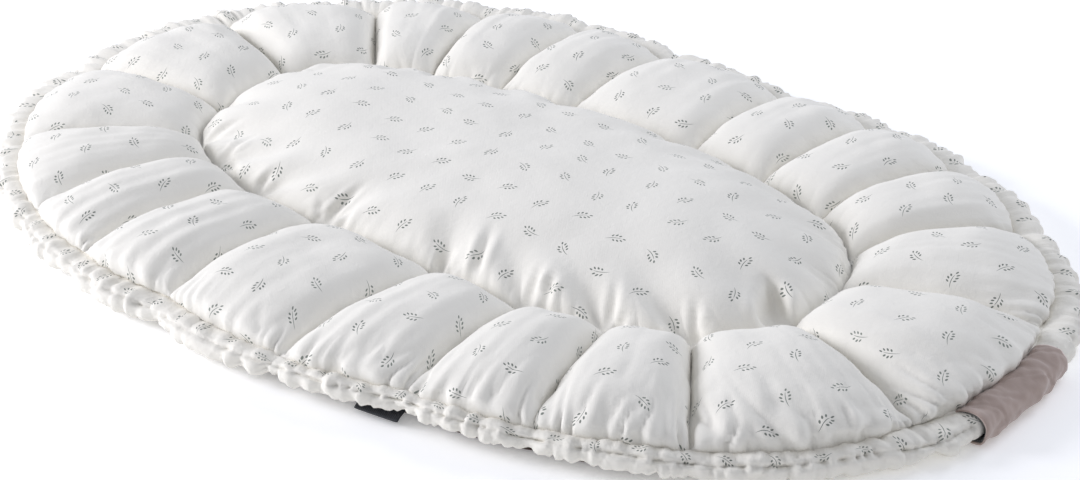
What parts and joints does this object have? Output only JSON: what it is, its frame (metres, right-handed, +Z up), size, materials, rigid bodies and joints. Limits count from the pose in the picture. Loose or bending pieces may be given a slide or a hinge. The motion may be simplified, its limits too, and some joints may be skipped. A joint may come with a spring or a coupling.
{
  "type": "padded baby nest laid open flat",
  "caption": "Oval quilted baby nest laid out flat: a plump middle, a ring of wedge cushions, a gathered rim casing with a plain cuff, and a backing sheet.",
  "frame": {"origin": "on the floor under the middle of the whole nest", "axes": "+X along the long axis towards the end with the cuff, +Y across the nest, +Z up"},
  "size_m": [1.2104, 0.8114, 0.0757],
  "materials": {
    "printed_cotton": "off-white plain-weave cotton, printed all over with small grey-green leaf sprigs",
    "casing_cotton": "the same printed cotton, gathered into a tunnel",
    "cuff_cotton": "taupe cotton twill, plain",
    "black_tape": "black napped closing tape",
    "backing_cotton": "dark taupe plain-weave cotton",
    "dark_webbing": "charcoal woven webbing"
  },
  "bodies": {
    "root": {"quilted_bed": "printed_cotton", "rim_casing": "casing_cotton", "cord_cuff": "cuff_cotton", "cuff_tape": "black_tape", "underside_panel": "backing_cotton", "strap_end": "dark_webbing"}
  },
  "joints": []
}
